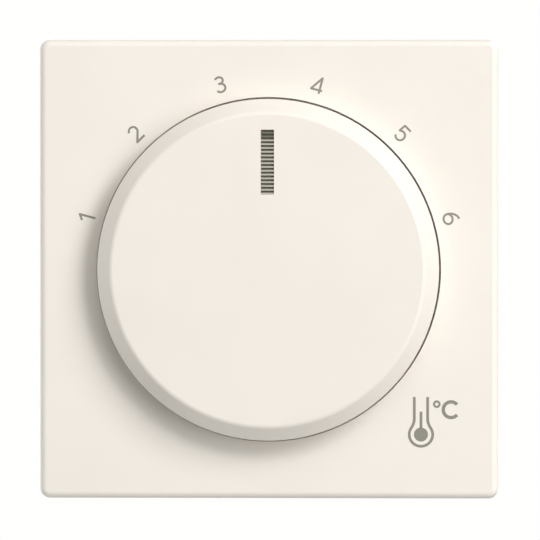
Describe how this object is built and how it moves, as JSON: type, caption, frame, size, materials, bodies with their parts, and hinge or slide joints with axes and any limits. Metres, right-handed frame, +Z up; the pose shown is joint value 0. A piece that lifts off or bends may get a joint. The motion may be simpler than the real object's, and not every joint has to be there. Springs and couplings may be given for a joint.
{
  "type": "wall thermostat",
  "caption": "Flush-mounted room thermostat with a square cover plate, a large temperature dial and a bimetal switch behind it.",
  "frame": {"origin": "centre of the wall surface on the dial's axis, level with the back of the support ring", "axes": "+Z up, the front faces -Y, +X to the right as seen from the front"},
  "size_m": [0.07, 0.0429, 0.07],
  "materials": {
    "cover_plastic": "fine satin, warm white",
    "dial_plastic": "satin, warm white",
    "pointer_plastic": "ribbed, grey",
    "housing_plastic": "moulded, light grey",
    "carrier_plastic": "moulded phenolic, black",
    "steel_sheet": "zinc-plated sheet",
    "plated_steel": "zinc-plated screws and pins",
    "spring_steel": "bright wire and strip",
    "brass": "machined and stamped",
    "contact_silver": "silver contact rivets",
    "bimetal_alloy": "rolled bimetal",
    "magnet_ferrite": "sintered, dark",
    "cam_plastic": "acetal, natural",
    "lever_plastic": "glass-filled nylon",
    "stud_ceramic": "insulating ceramic",
    "resistor_body": "lacquered",
    "limit_red": "moulded, red",
    "limit_blue": "moulded, blue"
  },
  "bodies": {
    "insert": {"cover_plate": "cover_plastic", "cover_screw": "plated_steel", "support_ring": "steel_sheet", "ring_screws": "plated_steel", "housing_base": "housing_plastic", "housing_cover": "housing_plastic", "housing_screws": "plated_steel", "mechanism_carrier": "carrier_plastic", "carrier_screws": "plated_steel", "terminal_cages": "brass", "terminal_screws": "plated_steel", "line_busbar": "brass", "load_busbar": "brass", "neutral_busbar": "brass", "setback_busbar": "brass", "fixed_contact": "contact_silver", "snap_magnet": "magnet_ferrite", "bimetal_bracket": "brass", "bimetal_rivet": "plated_steel", "feedback_resistor": "resistor_body", "setback_resistor": "resistor_body", "lever_pivot_pin": "plated_steel", "arm_pivot_pin": "plated_steel", "drag_washer": "spring_steel"},
    "dial_group": {"dial": "dial_plastic", "pointer_insert": "pointer_plastic", "min_limit_ring": "limit_blue", "max_limit_ring": "limit_red", "hub_grip_spring": "spring_steel", "spindle": "plated_steel", "spindle_clip": "spring_steel", "setpoint_cam": "cam_plastic"},
    "lever_group": {"adjusting_lever": "lever_plastic", "calibration_screw": "brass", "range_spring": "spring_steel"},
    "arm_group": {"contact_arm": "brass", "moving_contact": "contact_silver"},
    "bimetal_group": {"bimetal_strip": "bimetal_alloy", "push_stud": "stud_ceramic"}
  },
  "joints": [
    {"name": "dial_turn", "type": "hinge", "parent": "insert", "child": "dial_group", "pos_m": [0, 0, 0], "axis": [0, 1, 0], "range_deg": [-75, 75]},
    {"name": "lever_swing", "type": "hinge", "parent": "insert", "child": "lever_group", "pos_m": [-0.0125, 0.006, 0.0155], "axis": [0, 1, 0], "range_deg": [-4.6, 4.6], "deforming": ["range_spring"]},
    {"name": "contact_swing", "type": "hinge", "parent": "insert", "child": "arm_group", "pos_m": [0.0145, 0.0065, -0.0155], "axis": [0, 1, 0], "range_deg": [0, 1.5], "stiffness_Nm_per_rad": 0.01},
    {"name": "bimetal_bend", "type": "hinge", "parent": "insert", "child": "bimetal_group", "pos_m": [0.01, 0.0065, -0.0155], "axis": [0, 1, 0], "range_deg": [0, 1.5]}
  ],
  "couplings": [
    {"joint": "lever_swing", "follows": "dial_turn", "ratio": 0.0605},
    {"joint": "bimetal_bend", "follows": "contact_swing", "ratio": 1}
  ]
}
